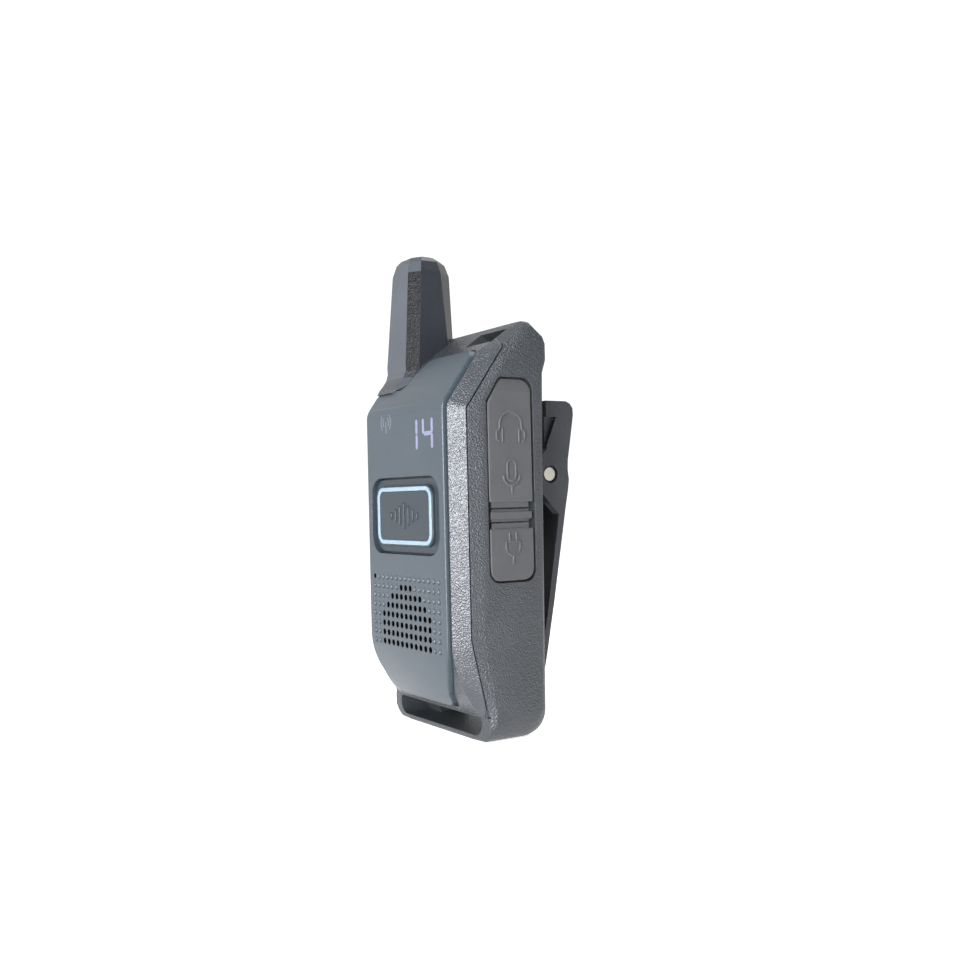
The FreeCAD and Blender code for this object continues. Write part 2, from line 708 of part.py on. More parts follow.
def flap(z0, z1, z_thin0, z_thin1):
    """One cover: thinner and narrower at its hinge, and bent in at a high end for a fingernail."""
    body = cover_outline(0, z0, z1).common(box(cover_x + 0.2, half_w - 0.05, -9, 19, z0, z1))
    bend = [(half_w, cover_high - 2.9), (half_w - 0.8, cover_high + 0.2), (half_w, cover_high + 0.2)]
    body = body.cut(slab_y(-9, 19, *polygon(bend)))
    edge = [e for e in body.Edges if min(v.X for v in e.Vertexes) > half_w - 0.06 and e.Length > 0.5]
    body = body.makeFillet(0.35, edge)
    thin = cover_outline(-0.9, z_thin0, z_thin1)
    thin = thin.common(box(cover_x + 0.2, half_w - 0.7, -9, 19, z_thin0, z_thin1))
    return body.fuse(thin).removeSplitter()


def headset_flap():
    z = hinge_high + 0.15
    return flap(z + 1.3, cover_high + 1, z, z + 1.4)


def usb_flap():
    z = hinge_low - 0.15
    return flap(cover_low - 1, z - 1.3, z - 1.4, z)


# ---- antenna ----
def antenna_section(z, x0, x1, y0, y1, cut_front, cut_back):
    """Eight-sided section: x0..x1 across, y0..y1 deep, with its corners cut."""
    fx, fy = cut_front
    bx, by = cut_back
    pts = [(x0 + fx, y0), (x1 - fx, y0), (x1, y0 + fy), (x1, y1 - by),
           (x1 - bx, y1), (x0 + bx, y1), (x0, y1 - by), (x0, y0 + fy)]
    return Part.makePolygon([V(p[0], p[1], z) for p in pts + pts[:1]])


def antenna_cover(body):
    back = y_head - 5.7
    levels = [
        antenna_section(ant_seat, -half_w + 0.75, -6.5, y_face + 6.8, back, (3.4, 2.0), (2.4, 2.6)),
        antenna_section(height - 7.0, -half_w + 0.6, -6.25, y_face + 6.6, back, (3.3, 2.0), (2.6, 2.8)),
        antenna_section(ant_top - 4.4, -20.8, -6.6, y_face + 7.9, back - 0.2, (3.0, 2.0), (3.6, 4.6)),
        antenna_section(ant_top - 1.5, -19.9, -7.5, y_face + 8.7, back - 1.0, (2.8, 1.9), (3.4, 4.3)),
        antenna_section(ant_top - 0.4, -18.7, -8.6, y_face + 9.6, back - 2.0, (2.5, 1.7), (3.1, 3.8)),
        antenna_section(ant_top, -17.4, -9.8, y_face + 10.6, back - 3.0, (2.1, 1.5), (2.7, 3.2)),
    ]
    shaft = Part.makeLoft(levels, True, True)
    foot_z = height - 13.4
    left = -half_w + 0.75
    toe = Part.makeLoft([
        antenna_section(foot_z - 0.8, left + 3.0, -9.6, y_face + 3.0, 0, (1.2, 1.0), (1.0, 1.0)),
        antenna_section(foot_z + 0.4, left + 2.3, -8.8, y_face + 3.8, 0, (1.6, 1.2), (1.0, 1.0)),
        antenna_section(foot_z + 1.7, left + 1.1, -7.4, y_face + 5.0, 0, (2.6, 1.7), (1.0, 1.0)),
        antenna_section(foot_z + 3.0, left + 0.3, -6.6, y_face + 6.0, 0, (3.2, 2.0), (1.0, 1.0)),
        antenna_section(foot_z + 4.6, left - 0.1, -6.3, y_face + 6.6, 0, (3.3, 2.0), (1.0, 1.0)),
    ], True, True)
    foot = body.common(antenna_seat(0)).cut(top_slot(0))
    shape = shaft.fuse(toe).fuse(foot)
    shape = shape.cut(panel_slab(panel_fit, panel_t + 0.6))
    shape = shape.cut(rod(3.5, ant_top - 4 - ant_seat, (ant_x, 1.0, ant_seat), (0, 0, 1)))
    return shape.removeSplitter()


def antenna_inside():
    z0 = ant_seat + 6
    coil = tube(3.3, 2.5, 24, (ant_x, 1.0, z0), (0, 0, 1))
    stud = fuse([rod(1.6, z0 - (ant_seat - wall - 0.3), (ant_x, 1.0, ant_seat - wall - 0.3), (0, 0, 1)),
                 rod(3.3, 2.0, (ant_x, 1.0, z0 - 2.0), (0, 0, 1)), rod(2.5, 4.0, (ant_x, 1.0, z0), (0, 0, 1))])
    x0, x1 = ant_x + 0.4, ant_x + 2.4
    z1 = ant_seat - wall - 0.3
    contact = box(x0, x1, switch_y, 3.0, z1 - 0.3, z1).fuse(box(x0, x1, switch_y, switch_y + 0.3, z1 - 5.7, z1))
    return {"antenna_coil": coil, "antenna_stud": stud, "antenna_contact": contact.removeSplitter()}


# ---- belt clip ----
def clip_lever():
    """Thumb plate and leg in one, with a cheek at each side that turns on the pin."""
    shell_pts = [(24.4, 78.8), (25.6, 78.3), (26.5, 77.2), (26.6, 75.5), (25.6, 69.5), (24.7, 64.4),
                 (24.6, 62.0), (24.9, 59.6), (24.5, 56.8), (23.8, 53.4), (21.8, 42.3), (19.6, 30.1),
                 (17.1, 17.6), (15.6, 11.2), (14.4, 9.6), (12.9, 9.5), (12.35, 10.6), (12.6, 12.0),
                 (14.8, 15.6), (17.4, 26.6), (19.2, 37.5), (21.3, 49.2), (22.2, 56.0), (22.9, 63.0),
                 (23.4, 70.0), (24.0, 75.6), (23.2, 76.2), (18.6, 76.2), (18.4, 78.8)]
    plate_part = slab_x(-clip_half, clip_half, *polygon(shell_pts))
    cheek_pts = [(18.4, 78.8), (24.4, 78.8), (25.6, 78.3), (26.5, 77.2), (26.6, 75.5), (25.6, 69.5),
                 (24.7, 64.4), (24.6, 62.0), (24.9, 59.6), (24.5, 56.8), (23.8, 53.4), (22.0, 50.9),
                 (17.6, 55.4), (16.0, 57.4), (15.2, 61.0), (16.2, 64.6), (18.4, 67.2)]
    shapes = [plate_part]
    for x0 in (-clip_half, clip_half - cheek_t):
        shapes.append(slab_x(x0, x0 + cheek_t, *polygon(cheek_pts)))
    shape = fuse(shapes)
    window = [(18.4, 68.0), (21.4, 74.9), (18.4, 74.9)]
    shape = shape.cut(slab_x(clip_half - 1.0, clip_half + 1, *polygon(window)))
    shape = shape.cut(slab_x(-clip_half - 1, -clip_half + 1.0, *polygon(window)))
    shape = shape.cut(rod(pin_r + pin_run, 4 * clip_half, (-2 * clip_half, pin_y, pin_z), (1, 0, 0)))
    for side in (-1, 1):
        shape = shape.cut(rod(pin_r + 0.55, 1.0, (side * clip_half, pin_y, pin_z), (-side, 0, 0)))
    corner = rounded(-clip_half, clip_half, 9.0, 90.0, 5.0)
    return shape.common(slab_y(10, 30, *corner)).removeSplitter()


def clip_base():
    """Bracket screwed to the back, with two ears that carry the pin."""
    foot = slab_y(y_back, y_back + 1.8, *rounded(-11.9, 11.9, 44.0, 75.0, 2.5))
    ear_pts = [(y_back, 45.0), (16.4, 46.2), (18.6, 47.6), (19.2, 49.4), (18.4, 52.0), (21.2, 58.2),
               (22.0, 61.0), (21.2, 63.6), (19.4, 64.2), (16.8, 63.8), (15.2, 70.0), (y_back, 73.0)]
    shapes = [foot]
    for x0 in (-11.9, 9.7):
        shapes.append(slab_x(x0, x0 + 2.2, *polygon(ear_pts)))
    shape = fuse(shapes)
    shape = shape.cut(rod(pin_r, 4 * clip_half, (-2 * clip_half, pin_y, pin_z), (1, 0, 0)))
    for x, z in clip_screw_places():
        shape = shape.cut(rod(clip_screw_r, 4, (x, y_back - 1, z), (0, 1, 0)))
    return shape.removeSplitter()


def clip_screw_places():
    return [(x, z) for x in (-6.5, 6.5) for z in (48.5, 70.8)]


def clip_screws():
    shapes = []
    for x, z in clip_screw_places():
        head = Part.makeCone(1.9, 1.5, 1.0, V(x, y_back + 1.8, z), V(0, 1, 0))
        shapes.append(fuse([rod(clip_screw_r, 3.2, (x, y_back - 1.4, z), (0, 1, 0)), head]))
    return Part.makeCompound(shapes)


def clip_pin():
    return rod(pin_r, 2 * clip_half - 1.0, (-clip_half + 0.5, pin_y, pin_z), (1, 0, 0))


def clip_spring():
    coil = tube(pin_r + 1.3, pin_r + 0.2, 9.6, (-6.0, pin_y, pin_z), (1, 0, 0))
    leg = box(-6.0, -5.0, y_back + 1.8, pin_y + 1.0, pin_z + pin_r + 0.25, pin_z + pin_r + 1.2)
    return coil.fuse(leg.cut(rod(pin_r + 0.2, 30, (-15, pin_y, pin_z), (1, 0, 0)))).removeSplitter()


def clip_spring_arm():
    eye = tube(pin_r + 1.3, pin_r + 0.2, 1.0, (3.8, pin_y, pin_z), (1, 0, 0))
    arm = slab_x(3.8, 4.8, *polygon([(pin_y + 1.7, pin_z), (pin_y + 2.7, pin_z), (23.2, 69.6), (22.3, 70.2)]))
    return eye.fuse(arm).removeSplitter()


def shell_screws():
    shapes = []
    for x, z in screw_places():
        head = rod(screw_head_r, 1.2, (x, y_back - 2.2, z), (0, 1, 0))
        head = head.cut(box(x - 1.2, x + 1.2, y_back - 1.5, y_back, z - 0.25, z + 0.25))
        head = head.cut(box(x - 0.25, x + 0.25, y_back - 1.5, y_back, z - 1.2, z + 1.2))
        shank_y = board_y - 4.8
        shank = rod(screw_r * 0.8, y_back - 2.2 - shank_y, (x, shank_y, z), (0, 1, 0))
        shapes.append(fuse([shank, head]))
    return Part.makeCompound(shapes)


def build():
    os.makedirs("parts", exist_ok=True)
    body = housing()
    parts = {
        "front_shell": front_shell(body), "rear_shell": rear_shell(body), "front_panel": front_panel(),
        "ptt_button": ptt_button(), "ptt_ring": ptt_ring(), "ptt_switch": ptt_switch(),
        "ptt_switch_cap": ptt_switch_cap(), "display_module": display_module(),
        "display_guide": display_guide(), "main_board": main_board(), "side_switches": side_switches(),
        "headset_jack_small": jack(jack_small_r, jack_small_deep, jack_high_z),
        "headset_jack_large": jack(jack_large_r, jack_large_deep, jack_low_z),
        "charging_socket": charging_socket(), "battery_cell": battery_cell(), "battery_pad": battery_pad(),
        "radio_shield": radio_shield(), "port_cover_anchor": port_cover_anchor(), "headset_flap": headset_flap(),
        "usb_flap": usb_flap(), "antenna_cover": antenna_cover(body), "clip_lever": clip_lever(),
        "clip_base": clip_base(), "clip_screws": clip_screws(), "clip_pin": clip_pin(),
        "clip_spring": clip_spring(), "clip_spring_arm": clip_spring_arm(), "shell_screws": shell_screws(),
    }
    parts.update(speaker_parts())
    parts.update(microphone_parts())
    parts.update(antenna_inside())
    for name, z in key_zs.items():
        parts[name] = side_key(z)
    for name, shape in parts.items():
        state = "valid" if shape.isValid() else "NOT VALID"
        print(name, state, len(shape.Solids), "solid(s)", round(shape.Volume, 1))
        save(name, shape)


build()
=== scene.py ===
import math

import bpy
import numpy as np
from mathutils import Matrix, Vector


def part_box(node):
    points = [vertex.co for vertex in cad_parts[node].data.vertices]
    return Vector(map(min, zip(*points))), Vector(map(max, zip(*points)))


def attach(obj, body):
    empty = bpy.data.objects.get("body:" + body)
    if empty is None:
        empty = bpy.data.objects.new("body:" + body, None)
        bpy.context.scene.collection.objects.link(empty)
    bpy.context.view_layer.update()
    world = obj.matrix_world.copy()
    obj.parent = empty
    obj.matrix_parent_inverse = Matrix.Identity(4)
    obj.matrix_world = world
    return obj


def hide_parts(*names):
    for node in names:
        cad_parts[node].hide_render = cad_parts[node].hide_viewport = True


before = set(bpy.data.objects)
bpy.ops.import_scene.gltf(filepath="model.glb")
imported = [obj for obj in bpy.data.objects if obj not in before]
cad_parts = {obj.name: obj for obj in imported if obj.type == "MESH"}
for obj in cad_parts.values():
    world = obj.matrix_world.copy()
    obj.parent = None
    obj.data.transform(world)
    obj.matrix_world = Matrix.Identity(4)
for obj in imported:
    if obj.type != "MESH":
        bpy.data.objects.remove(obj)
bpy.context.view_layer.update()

mm = 0.001
scene = bpy.context.scene
print("frame loaded:", len(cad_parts), "nodes")


def linear(hexColour):
    # sRGB hex to the linear values that the shaders take, with a full alpha
    srgb = np.array([int(hexColour[i:i + 2], 16) for i in (1, 3, 5)]) / 255
    value = np.where(srgb <= 0.04045, srgb / 12.92, ((srgb + 0.055) / 1.055) ** 2.4)
    return (*value.tolist(), 1.0)


cameraView = {"azimuth": 57.03, "pitch": 0.48, "roll": -1.35, "lens": 39.42, "sensor": 36,
              "near": 0.01, "far": 20, "place": (0.22493, -0.13440, 0.05530)}


def makeCamera(view):
    # the view direction from azimuth and pitch, then the picture turned by roll about it
    azimuth = math.radians(view["azimuth"])
    pitch = math.radians(view["pitch"])
    roll = math.radians(view["roll"])
    level = math.cos(pitch)
    ahead = np.array([-math.sin(azimuth) * level, math.cos(azimuth) * level, math.sin(pitch)])
    right = np.array([math.cos(azimuth), math.sin(azimuth), 0.0])
    up = np.cross(right, ahead)
    turnedRight = math.cos(roll) * right + math.sin(roll) * up
    turnedUp = math.cos(roll) * up - math.sin(roll) * right
    camera = bpy.data.objects.new("camera", bpy.data.cameras.new("camera"))
    camera.data.lens = view["lens"]
    camera.data.sensor_width = view["sensor"]
    camera.data.clip_start = view["near"]
    camera.data.clip_end = view["far"]
    turn = Matrix(np.column_stack([turnedRight, turnedUp, -ahead]).tolist()).to_4x4()
    camera.matrix_world = Matrix.Translation(view["place"]) @ turn
    scene.collection.objects.link(camera)
    scene.camera = camera


makeCamera(cameraView)
print("camera made")


def meshPiece(name, verts, faces, material, body):
    # a smooth piece of its own, which moves with a body and has the material in its slot
    mesh = bpy.data.meshes.new(name)
    mesh.from_pydata(np.asarray(verts).tolist(), [], faces)
    mesh.polygons.foreach_set("use_smooth", [True] * len(mesh.polygons))
    mesh.materials.append(material)
    mesh.update()
    piece = bpy.data.objects.new(name, mesh)
    scene.collection.objects.link(piece)
    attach(piece, body)
    return piece


def gridFaces(rows, columns, first, closeRows):
    # quads between neighbouring points of a rows x columns grid of vertices, closed round each row
    i = np.arange(rows if closeRows else rows - 1)
    j = np.arange(columns)
    i, j = np.meshgrid(i, j, indexing="ij")
    iNext = (i + 1) % rows
    jNext = (j + 1) % columns
    corners = [i * columns + j, i * columns + jNext, iNext * columns + jNext, iNext * columns + j]
    return (np.stack(corners, -1).reshape(-1, 4) + first).tolist()


capAngles = np.radians([88, 66, 44, 22])


def sweep(path, normal, halfWidth, halfHeight, sides=12, closed=False, first=0):
    # an ellipse carried along a path:
    # point = path + halfWidth times cosine of t along side + halfHeight times sine of t along up,
    # where side = tangent x normal; an open path gets round ends, whose ellipses shrink as a quarter circle
    path = np.asarray(path, float)
    normal = np.broadcast_to(np.asarray(normal, float), path.shape)
    if closed:
        tangent = np.roll(path, -1, 0) - np.roll(path, 1, 0)
    else:
        tangent = np.gradient(path, axis=0)
    tangent /= np.linalg.norm(tangent, axis=1)[:, None]
    scale = np.ones(len(path))
    if not closed:
        count = len(capAngles)
        start = path[0] - np.outer(np.sin(capAngles), tangent[0]) * halfWidth
        end = path[-1] + np.outer(np.sin(capAngles[::-1]), tangent[-1]) * halfWidth
        path = np.vstack([start, path, end])
        scale = np.concatenate([np.cos(capAngles), scale, np.cos(capAngles[::-1])])
        normal = np.vstack([np.repeat(normal[:1], count, 0), normal, np.repeat(normal[-1:], count, 0)])
        tangent = np.vstack([np.repeat(tangent[:1], count, 0), tangent, np.repeat(tangent[-1:], count, 0)])
    side = np.cross(tangent, normal)
    side /= np.linalg.norm(side, axis=1)[:, None]
    up = np.cross(side, tangent)
    t = np.linspace(0, 2 * np.pi, sides, endpoint=False)[None, :, None]
    ring = np.cos(t) * side[:, None] * halfWidth + np.sin(t) * up[:, None] * halfHeight
    points = (path[:, None] + ring * scale[:, None, None]).reshape(-1, 3)
    faces = gridFaces(len(path), sides, first, closed)
    if not closed:
        last = first + (len(path) - 1) * sides
        faces.append([first + k for k in reversed(range(sides))])
        faces.append([last + k for k in range(sides)])
    return points, faces


def sweepAll(strokes, normal, look, sides=12):
    # several strokes, each a path and whether it closes, as one mesh with the look's width and rise
    points = []
    faces = []
    first = 0
    for path, closed in strokes:
        strokePoints, strokeFaces = sweep(path, normal, look["halfWidth"] * mm, look["proud"] * mm,
                                          sides, closed, first)
        points.append(strokePoints)
        faces += strokeFaces
        first += len(strokePoints)
    return np.vstack(points), faces


def arc(centre, radius, start, end, count=24):
    # points of a circular arc in a flat drawing, angles in degrees
    t = np.radians(np.linspace(start, end, count))
    return np.column_stack([centre[0] + radius * np.cos(t), centre[1] + radius * np.sin(t)])


def straight(start, end, count):
    return np.linspace(start, end, count)


def onSide(x, drawing, origin):
    # a flat drawing in mm laid on the plane X = x, its width running towards +Y
    flat = np.asarray(drawing) * mm
    return np.column_stack([np.full(len(flat), x), origin[0] + flat[:, 0], origin[1] + flat[:, 1]])


def onFront(y, drawing, origin):
    # a flat drawing in mm laid on the plane Y = y, its width running towards +X
    flat = np.asarray(drawing) * mm
    return np.column_stack([origin[0] + flat[:, 0], np.full(len(flat), y), origin[1] + flat[:, 1]])


def addNode(tree, kind, inputs=None, **settings):
    # one node, its settings, and each input either a value or the socket that feeds it
    node = tree.nodes.new("ShaderNode" + kind)
    for name, value in settings.items():
        setattr(node, name, value)
    for name, value in (inputs or {}).items():
        if isinstance(value, bpy.types.NodeSocket):
            tree.links.new(value, node.inputs[name])
        else:
            node.inputs[name].default_value = value
    return node


def startMaterial(name):
    # an empty material, its node tree, and the object coordinates that its textures run on
    material = bpy.data.materials.new(name)
    material.use_nodes = True
    tree = material.node_tree
    tree.nodes.clear()
    return material, tree, addNode(tree, "TexCoord").outputs["Object"]


def finishMaterial(tree, inputs):
    shader = addNode(tree, "BsdfPrincipled", inputs)
    addNode(tree, "OutputMaterial", {"Surface": shader.outputs[0]})


def noise(tree, vector, size, detail, roughness=0.5):
    # cloudy noise whose lumps are about size across
    inputs = {"Vector": vector, "Scale": 1 / size, "Detail": detail, "Roughness": roughness}
    return addNode(tree, "TexNoise", inputs).outputs[0]


def spread(tree, value, source, target, **settings):
    # a value's source range stretched to the target range and kept inside it
    inputs = {"Value": value, "From Min": source[0], "From Max": source[1],
              "To Min": target[0], "To Max": target[1]}
    return addNode(tree, "MapRange", inputs, **settings).outputs[0]


def blend(tree, factor, first, second):
    # from the first colour to the second, each a hex colour or the socket that feeds it
    start = linear(first) if isinstance(first, str) else first
    end = linear(second) if isinstance(second, str) else second
    return addNode(tree, "Mix", {"Factor": factor, "A": start, "B": end}, data_type="RGBA").outputs["Result"]


def maths(tree, operation, *values):
    return addNode(tree, "Math", dict(enumerate(values)), operation=operation).outputs[0]


def relief(tree, height, depth, strength, edge=None):
    # bumps of this height, on edges that shade round where edge gives a radius
    inputs = {"Strength": strength, "Distance": depth, "Height": height}
    if edge:
        inputs["Normal"] = addNode(tree, "Bevel", {"Radius": edge}, samples=4).outputs[0]
    return addNode(tree, "Bump", inputs).outputs[0]


noiseBand = (0.3, 0.7)


def unevenRoughness(tree, value, look):
    # roughness that follows a noise, from smoother to rougher than the look's own
    target = (look["roughness"] - look["smoother"], look["roughness"] + look["rougher"])
    return spread(tree, value, noiseBand, target)


grainedPlastic = {"dark": "#2c2e32", "light": "#3a3d42", "cloud": 9 * mm, "gloss": 0.5, "ior": 1.60,
                  "roughness": 0.27, "smoother": 0.10, "rougher": 0.12,
                  "grain": 0.34 * mm, "depth": 0.095 * mm, "edge": 0.22 * mm}


def sparkErodedPlastic(name, look, coarseFacing=None):
    # ABS moulded in a spark-eroded tool: small facets that each catch the light, with softened edges;
    # with coarseFacing only the faces turned that way are coarse, and those turned far from it get a darker
    # colour. Painted shade: that colour stands for the shade on faces turned away from the light
    material, tree, coords = startMaterial(name)
    grain = noise(tree, coords, look["grain"], 3.0, 0.62)
    pits = addNode(tree, "TexVoronoi", {"Vector": coords, "Scale": 0.8 / look["grain"]})
    height = maths(tree, "ADD", grain, pits.outputs["Distance"])
    colour = blend(tree, noise(tree, coords, look["cloud"], 2.0), look["dark"], look["light"])
    rough = unevenRoughness(tree, grain, look)
    strength = 1.0
    gloss = look["gloss"]
    if coarseFacing:
        normal = addNode(tree, "NewGeometry").outputs["True Normal"]
        facing = addNode(tree, "VectorMath", {0: normal, 1: coarseFacing}, operation="DOT_PRODUCT")
        strength = spread(tree, facing.outputs["Value"], look["coarseBand"], (look["calm"], 1.0))
        # Painted shade: faces turned away from coarseFacing blend to the darker flank colour
        front = spread(tree, facing.outputs["Value"], look["flankShadeBand"], (0.0, 1.0))
        colour = blend(tree, strength, blend(tree, front, look["flankShade"], colour), look["coarse"])
        gloss = spread(tree, strength, (0.0, 1.0), (look["gloss"], look["coarseGloss"]))
    bump = relief(tree, height, look["depth"], strength, look["edge"])
    finishMaterial(tree, {"Base Color": colour, "Roughness": rough, "IOR": look["ior"],
                          "Specular IOR Level": gloss, "Normal": bump})
    return material


# Painted shade: the near-black colour and its low gloss below go on the walls of the grille holes, for the
# shade inside them
satinPanel = {"dark": "#31393f", "light": "#374047", "holeShade": "#08080a", "cloud": 14 * mm,
              "roughness": 0.36, "smoother": 0.05, "rougher": 0.07, "ior": 1.5, "gloss": 0.42,
              "holeShadeGloss": 0.08, "orangePeel": 1.4 * mm, "dust": 0.12 * mm, "dustShare": 0.35,
              "depth": 0.012 * mm, "strength": 0.6, "edge": 0.25 * mm, "wallBand": (0.30, 0.46),
              "openHalf": 16.9 * mm, "openLow": 20 * mm, "openHigh": 38.5 * mm}


def satinPaint(name, look):
    # soft-touch paint on polycarbonate: nearly smooth, with a faint orange peel and fine dust in the film;
    # within openHalf of the middle and between openLow and openHigh, the walls of the holes get a near-black
    # colour with little gloss. Painted shade: that colour stands for the shade inside the holes
    material, tree, coords = startMaterial(name)
    dust = noise(tree, coords, look["dust"], 2.0)
    peel = noise(tree, coords, look["orangePeel"], 1.0)
    height = maths(tree, "MULTIPLY_ADD", dust, look["dustShare"], peel)
    tone = blend(tree, noise(tree, coords, look["cloud"], 2.0), look["dark"], look["light"])
    rough = unevenRoughness(tree, dust, look)
    normal = addNode(tree, "SeparateXYZ", {"Vector": addNode(tree, "NewGeometry").outputs["True Normal"]})
    place = addNode(tree, "SeparateXYZ", {"Vector": coords})
    aside = maths(tree, "ABSOLUTE", place.outputs["X"])
    # Painted shade: this mask is 0 on the walls of the grille holes, which then take the near-black colour
    # instead of the paint tone
    unshaded = spread(tree, maths(tree, "ABSOLUTE", normal.outputs["Y"]), look["wallBand"], (0.0, 1.0))
    for outside in (maths(tree, "GREATER_THAN", aside, look["openHalf"]),
                    maths(tree, "LESS_THAN", place.outputs["Z"], look["openLow"]),
                    maths(tree, "GREATER_THAN", place.outputs["Z"], look["openHigh"])):
        unshaded = maths(tree, "MAXIMUM", unshaded, outside)
    gloss = maths(tree, "MULTIPLY_ADD", unshaded, look["gloss"], look["holeShadeGloss"])
    bump = relief(tree, height, look["depth"], look["strength"], look["edge"])
    finishMaterial(tree, {"Base Color": blend(tree, unshaded, look["holeShade"], tone), "Roughness": rough,
                          "IOR": look["ior"], "Specular IOR Level": gloss, "Normal": bump})
    return material


coverRubber = {"dark": "#38383a", "light": "#434344", "bloom": 6 * mm, "roughness": 0.55, "ior": 1.47,
               "sheen": 0.15, "lint": "#7c7c7c", "lintPitch": 1.9 * mm, "lintBand": (0.05, 0.09),
               "lintShare": 0.35, "speck": 0.35 * mm, "depth": 0.02 * mm, "strength": 0.7, "edge": 0.3 * mm}


def siliconeRubber(name, look):
    # compression-moulded silicone: matt, warm dark grey, with specks of lint and a faint bloom
    material, tree, coords = startMaterial(name)
    speck = noise(tree, coords, look["speck"], 4.0, 0.7)
    lint = addNode(tree, "TexVoronoi", {"Vector": coords, "Scale": 1 / look["lintPitch"]})
    dot = spread(tree, lint.outputs["Distance"], look["lintBand"], (look["lintShare"], 0.0))
    tone = blend(tree, noise(tree, coords, look["bloom"], 3.0), look["dark"], look["light"])
    bump = relief(tree, speck, look["depth"], look["strength"], look["edge"])
    finishMaterial(tree, {"Base Color": blend(tree, dot, tone, look["lint"]), "Roughness": look["roughness"],
                          "IOR": look["ior"], "Sheen Weight": look["sheen"], "Normal": bump})
    return material


metalLines = {"smoother": 0.08, "rougher": 0.12, "depth": 0.01 * mm, "strength": 0.4}


def turnedMetal(name, colours, roughness, grain, stretch):
    # drawn or turned metal: fine lines along one direction, uneven gloss
    material, tree, coords = startMaterial(name)
    along = addNode(tree, "Mapping", {"Vector": coords, "Scale": stretch}).outputs[0]
    lines = noise(tree, along, grain, 3.0)
    rough = unevenRoughness(tree, lines, dict(metalLines, roughness=roughness))
    bump = relief(tree, lines, metalLines["depth"], metalLines["strength"])
    finishMaterial(tree, {"Base Color": blend(tree, lines, *colours), "Metallic": 1.0, "Roughness": rough,
                          "Normal": bump})
    return material


toolTexture = {"flow": 5 * mm, "smoother": 0.06, "rougher": 0.06, "ior": 1.5, "strength": 0.6}


def mouldedPlastic(name, colours, roughness, grain=0.4 * mm, depth=0.02 * mm, transmission=0.0):
    # plain injection-moulded plastic: flow clouds in the colour and a light tool texture
    material, tree, coords = startMaterial(name)
    flow = noise(tree, coords, toolTexture["flow"], 3.0)
    tool = noise(tree, coords, grain, 3.0)
    rough = unevenRoughness(tree, tool, dict(toolTexture, roughness=roughness))
    bump = relief(tree, tool, depth, toolTexture["strength"])
    finishMaterial(tree, {"Base Color": blend(tree, flow, *colours), "Roughness": rough,
                          "IOR": toolTexture["ior"], "Transmission Weight": transmission, "Normal": bump})
    return material


plainWeave = {"waveScale": 6.5, "waver": 0.6, "roughness": 0.85, "gloss": 0.1, "depth": 0.04 * mm,
              "strength": 0.8}


def wovenCloth(name, colours, thread, look):
    # plain-weave dust cloth: two crossed sets of threads, one every thread width
    material, tree, coords = startMaterial(name)
    inputs = {"Vector": coords, "Scale": 1 / (thread * look["waveScale"]), "Distortion": look["waver"]}
    warp = addNode(tree, "TexWave", inputs, bands_direction="X")
    weft = addNode(tree, "TexWave", inputs, bands_direction="Z")
    weave = maths(tree, "MULTIPLY", warp.outputs["Fac"], weft.outputs["Fac"])
    finishMaterial(tree, {"Base Color": blend(tree, weave, *colours), "Roughness": look["roughness"],
                          "Specular IOR Level": look["gloss"],
                          "Normal": relief(tree, weave, look["depth"], look["strength"])})
    return material


segmentPaint = {"colour": "#5a5d68", "roughness": 0.4, "mottle": 0.8 * mm, "dimmer": 0.8, "brighter": 1.2}


def litSegment(name, colour, strength, look):
    # light that a dead-front panel lets through: even, with a soft mottle from the paint
    material, tree, coords = startMaterial(name)
    mottle = noise(tree, coords, look["mottle"], 2.0)
    power = spread(tree, mottle, noiseBand, (strength * look["dimmer"], strength * look["brighter"]))
    finishMaterial(tree, {"Base Color": linear(look["colour"]), "Roughness": look["roughness"],
                          "Emission Color": linear(colour), "Emission Strength": power})
    return material


fineGrain = dict(grainedPlastic, dark="#26282b", light="#313437", depth=0.13 * mm, roughness=0.40)
# Painted shade: the flank colour darkens the antenna faces turned away from the chamfer
antennaGrain = dict(grainedPlastic, dark="#353a40", light="#3f444b", flankShade="#22242a", coarse="#0c0c10",
                    roughness=0.36, depth=0.2 * mm, calm=0.04, coarseGloss=0.25,
                    coarseBand=(0.95, 0.98), flankShadeBand=(0.60, 0.78))
clipGrain = dict(grainedPlastic, dark="#232529", light="#2d2f34", grain=0.26 * mm, depth=0.05 * mm,
                 roughness=0.44)
satinButton = dict(satinPanel, dark="#262d33", light="#2b3237", gloss=0.24)
chamferFacing = (0.56, -0.83, 0.0)

bezelAbs = sparkErodedPlastic("coarseSparkErodedAbs", grainedPlastic)
tubAbs = sparkErodedPlastic("fineSparkErodedAbs", fineGrain)
antennaAbs = sparkErodedPlastic("mouldedAntennaAbs", antennaGrain, chamferFacing)
clipNylon = sparkErodedPlastic("glassFilledNylon", clipGrain)
panelPaint = satinPaint("satinPaintedPolycarbonate", satinPanel)
buttonPaint = satinPaint("satinPaintedButton", satinButton)
rubber = siliconeRubber("mouldedSilicone", coverRubber)
lightRing = mouldedPlastic("frostedLightRing", ("#70838f", "#8094a0"), 0.25, 0.6 * mm, 0.01 * mm)
blackPart = mouldedPlastic("blackNylon", ("#141415", "#1c1c1e"), 0.5)
clearGuide = mouldedPlastic("frostedAcrylic", ("#cfd2dc", "#dcdfe8"), 0.4, transmission=0.6)
boardMask = mouldedPlastic("solderMaskedFibreglass", ("#0d3a1f", "#134a29"), 0.3, 0.25 * mm)
foam = mouldedPlastic("closedCellFoam", ("#1b1b1c", "#262628"), 0.9, 0.3 * mm, 0.08 * mm)
cellFoil = turnedMetal("aluminiumPouchFoil", ("#9b9ea2", "#b4b7bb"), 0.35, 1.5 * mm, (1, 1, 1))
